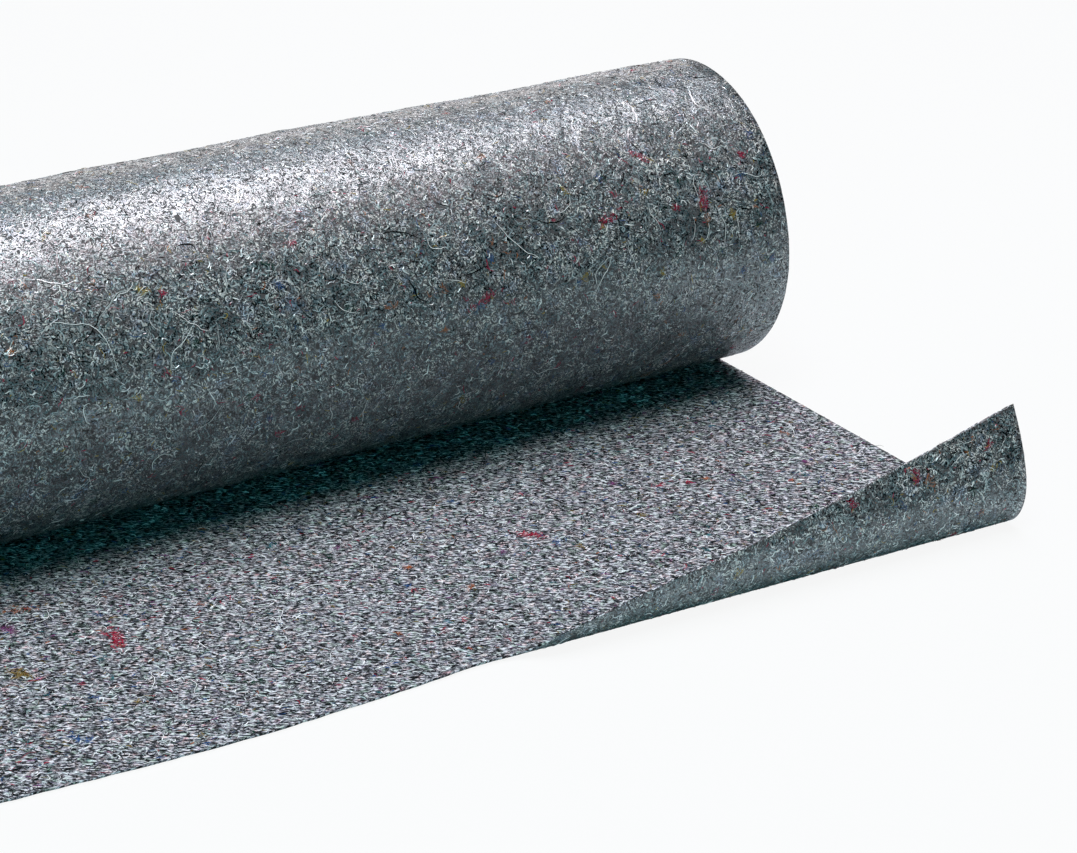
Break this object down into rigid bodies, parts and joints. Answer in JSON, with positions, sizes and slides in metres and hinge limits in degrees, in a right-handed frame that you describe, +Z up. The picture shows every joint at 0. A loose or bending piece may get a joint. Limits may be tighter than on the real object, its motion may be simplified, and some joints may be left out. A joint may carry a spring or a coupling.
{
  "type": "roll of protective fleece",
  "caption": "Roll of needled protective fleece with a film face, its loose end lying unrolled on the floor and curled up at one corner.",
  "frame": {"origin": "on the floor, at the middle of the box round the whole thing", "axes": "+X along the roll, -Y the way the loose end runs out, +Z up"},
  "size_m": [1.0057, 0.4726, 0.2219],
  "materials": {
    "film_side": "fleece seen through a thin glossy film",
    "fleece_side": "matt needled fibres of mixed colours"
  },
  "bodies": {
    "root": {"wound_roll": "film_side", "loose_end": "fleece_side"}
  },
  "joints": []
}
